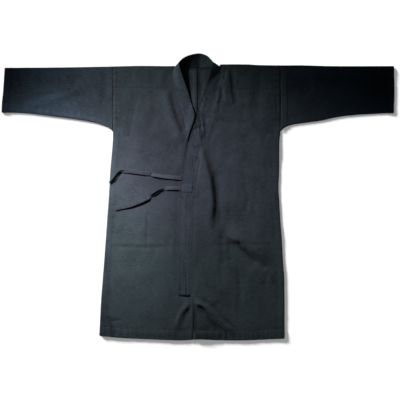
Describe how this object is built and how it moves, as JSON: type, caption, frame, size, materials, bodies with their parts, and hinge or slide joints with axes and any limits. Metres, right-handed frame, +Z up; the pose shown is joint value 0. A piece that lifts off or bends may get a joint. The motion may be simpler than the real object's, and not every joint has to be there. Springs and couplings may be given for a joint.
{
  "type": "kendo jacket, laid flat",
  "caption": "Dark cotton kendo jacket laid flat, fronts crossed left over right, with straight sleeves, a long collar band and cloth ties.",
  "frame": {"origin": "middle of the laid garment's outline, on the surface it lies on", "axes": "+X to the wearer's left sleeve, +Y towards the neck, +Z up from the surface, away from the back of the jacket"},
  "size_m": [1.3591, 0.991, 0.027],
  "materials": {
    "cloth": "matt plain weave, dark slate",
    "band_cloth": "matt plain weave, two layers, stitched",
    "tie_cloth": "matt plain weave, folded and stitched flat"
  },
  "bodies": {
    "root": {"body_right": "cloth", "body_left": "cloth", "sleeve_right": "cloth", "sleeve_left": "cloth", "collar": "band_cloth", "tie_patch": "band_cloth", "tie_upper": "tie_cloth", "tie_lower": "tie_cloth"}
  },
  "joints": []
}
